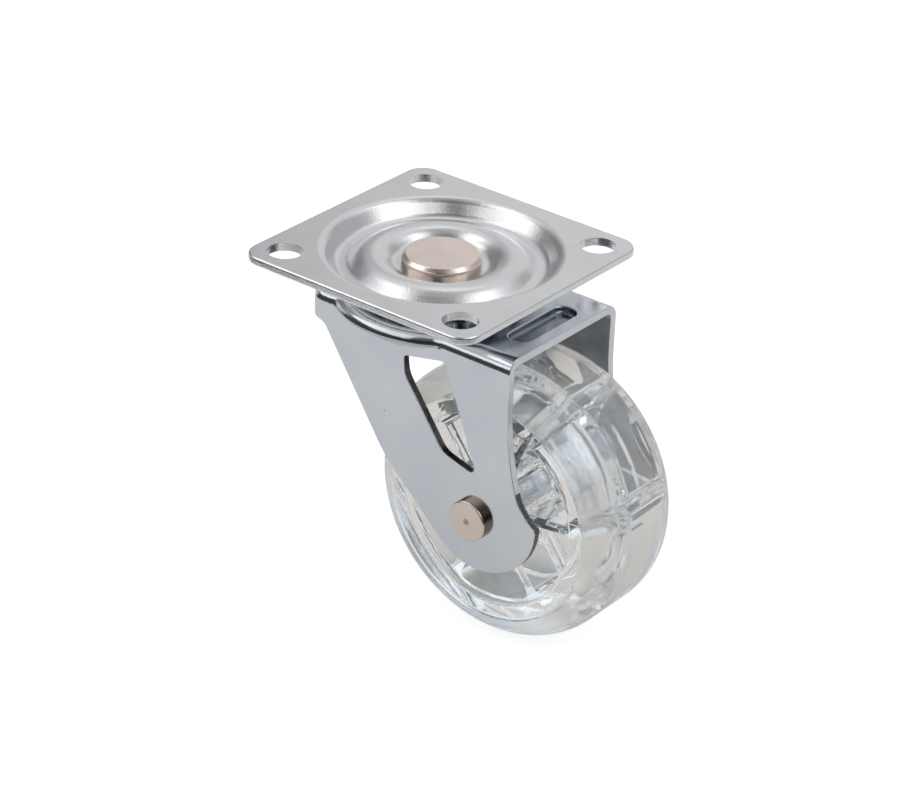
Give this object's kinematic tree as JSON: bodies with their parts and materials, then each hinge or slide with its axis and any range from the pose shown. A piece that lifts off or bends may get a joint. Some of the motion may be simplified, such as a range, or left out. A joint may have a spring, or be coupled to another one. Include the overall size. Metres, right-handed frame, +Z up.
{
  "type": "swivel plate caster wheel",
  "caption": "Swivel caster with a square bolt-on top plate, a pressed steel fork on ball races and a clear wheel with a soft tread that rolls on a riveted axle.",
  "frame": {"origin": "middle of the mounting plate's top face, on the swivel axis", "axes": "+Z up out of the plate, +X the way the wheel trails, Y along the axle"},
  "size_m": [0.0827, 0.058, 0.0762],
  "materials": {
    "zinc": "satin zinc plate",
    "nickel": "satin nickel",
    "race_steel": "satin",
    "sleeve_steel": "bright drawn tube",
    "ball_steel": "polished",
    "clear_core": "clear moulded plastic",
    "clear_tread": "clear soft moulded plastic, slightly cloudy"
  },
  "bodies": {
    "plate": {"mounting_plate": "zinc", "king_rivet": "nickel", "lower_race_cup": "race_steel"},
    "fork": {"fork": "zinc", "axle_rivet": "nickel", "axle_sleeve": "sleeve_steel"},
    "wheel": {"wheel_core": "clear_core", "tread": "clear_tread"},
    "upper_balls": {"upper_ball_01": "ball_steel", "upper_ball_02": "ball_steel", "upper_ball_03": "ball_steel", "upper_ball_04": "ball_steel", "upper_ball_05": "ball_steel", "upper_ball_06": "ball_steel", "upper_ball_07": "ball_steel", "upper_ball_08": "ball_steel", "upper_ball_09": "ball_steel", "upper_ball_10": "ball_steel", "upper_ball_11": "ball_steel", "upper_ball_12": "ball_steel", "upper_ball_13": "ball_steel", "upper_ball_14": "ball_steel", "upper_ball_15": "ball_steel"},
    "lower_balls": {"lower_ball_01": "ball_steel", "lower_ball_02": "ball_steel", "lower_ball_03": "ball_steel", "lower_ball_04": "ball_steel", "lower_ball_05": "ball_steel", "lower_ball_06": "ball_steel", "lower_ball_07": "ball_steel", "lower_ball_08": "ball_steel", "lower_ball_09": "ball_steel", "lower_ball_10": "ball_steel", "lower_ball_11": "ball_steel", "lower_ball_12": "ball_steel", "lower_ball_13": "ball_steel", "lower_ball_14": "ball_steel", "lower_ball_15": "ball_steel"}
  },
  "joints": [
    {"name": "swivel", "type": "hinge", "parent": "plate", "child": "fork", "pos_m": [0, 0, 0], "axis": [0, 0, 1], "continuous": true},
    {"name": "wheel_spin", "type": "hinge", "parent": "fork", "child": "wheel", "pos_m": [0.0237, 0, -0.04623], "axis": [0, 1, 0], "continuous": true},
    {"name": "upper_ball_orbit", "type": "hinge", "parent": "plate", "child": "upper_balls", "pos_m": [0, 0, 0], "axis": [0, 0, 1], "continuous": true},
    {"name": "lower_ball_orbit", "type": "hinge", "parent": "plate", "child": "lower_balls", "pos_m": [0, 0, 0], "axis": [0, 0, 1], "continuous": true}
  ],
  "couplings": [
    {"joint": "upper_ball_orbit", "follows": "swivel", "ratio": 0.5},
    {"joint": "lower_ball_orbit", "follows": "swivel", "ratio": 0.5}
  ]
}
